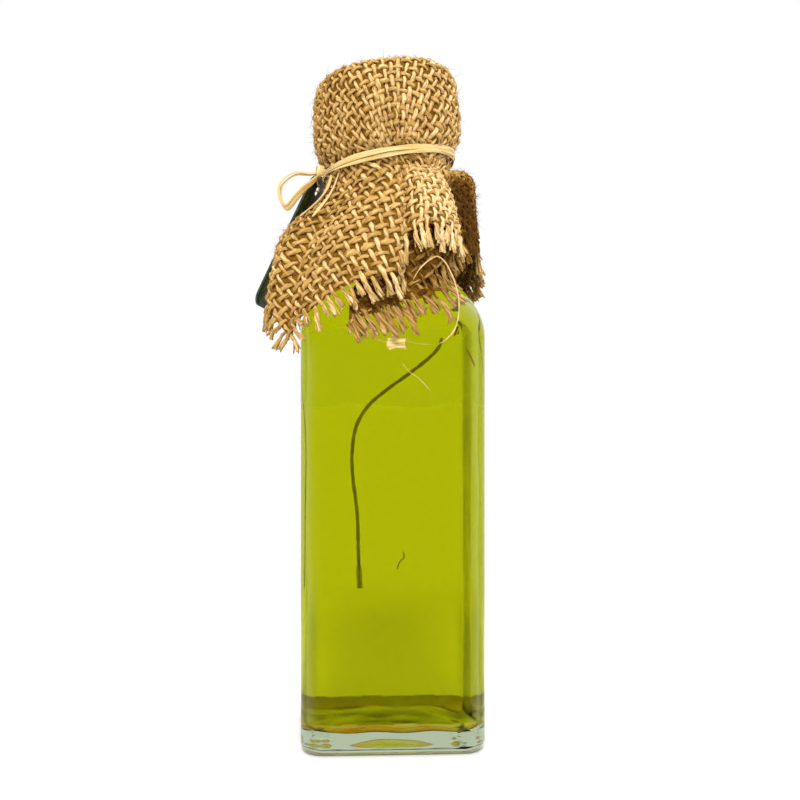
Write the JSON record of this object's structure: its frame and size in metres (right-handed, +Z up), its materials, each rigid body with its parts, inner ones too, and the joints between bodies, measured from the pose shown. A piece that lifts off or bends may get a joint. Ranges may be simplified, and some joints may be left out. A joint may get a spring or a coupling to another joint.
{
  "type": "bottle of argan oil",
  "caption": "Square clear glass bottle of argan oil, its stopper covered with a frayed square of jute cloth tied with raffia, with a card hang tag and a loose yarn.",
  "frame": {"origin": "middle of the bottle's flat base, at the height of the surface it stands on", "axes": "+Z up along the bottle, +X to the right of the shown side, the shown side faces -Y"},
  "size_m": [0.0698, 0.0783, 0.1999],
  "materials": {
    "bottle_glass": "clear, fire-polished",
    "argan_oil": "clear yellow-green liquid",
    "cork": "turned, matte",
    "jute_burlap": "coarse open plain weave, matte",
    "raffia": "dried straw, satin",
    "green_card": "printed card, satin",
    "jute_yarn": "spun fibre, matte"
  },
  "bodies": {
    "root": {"bottle": "bottle_glass", "oil": "argan_oil", "stopper": "cork", "cloth_cover": "jute_burlap", "tie": "raffia", "tag": "green_card", "loose_yarn": "jute_yarn"}
  },
  "joints": []
}
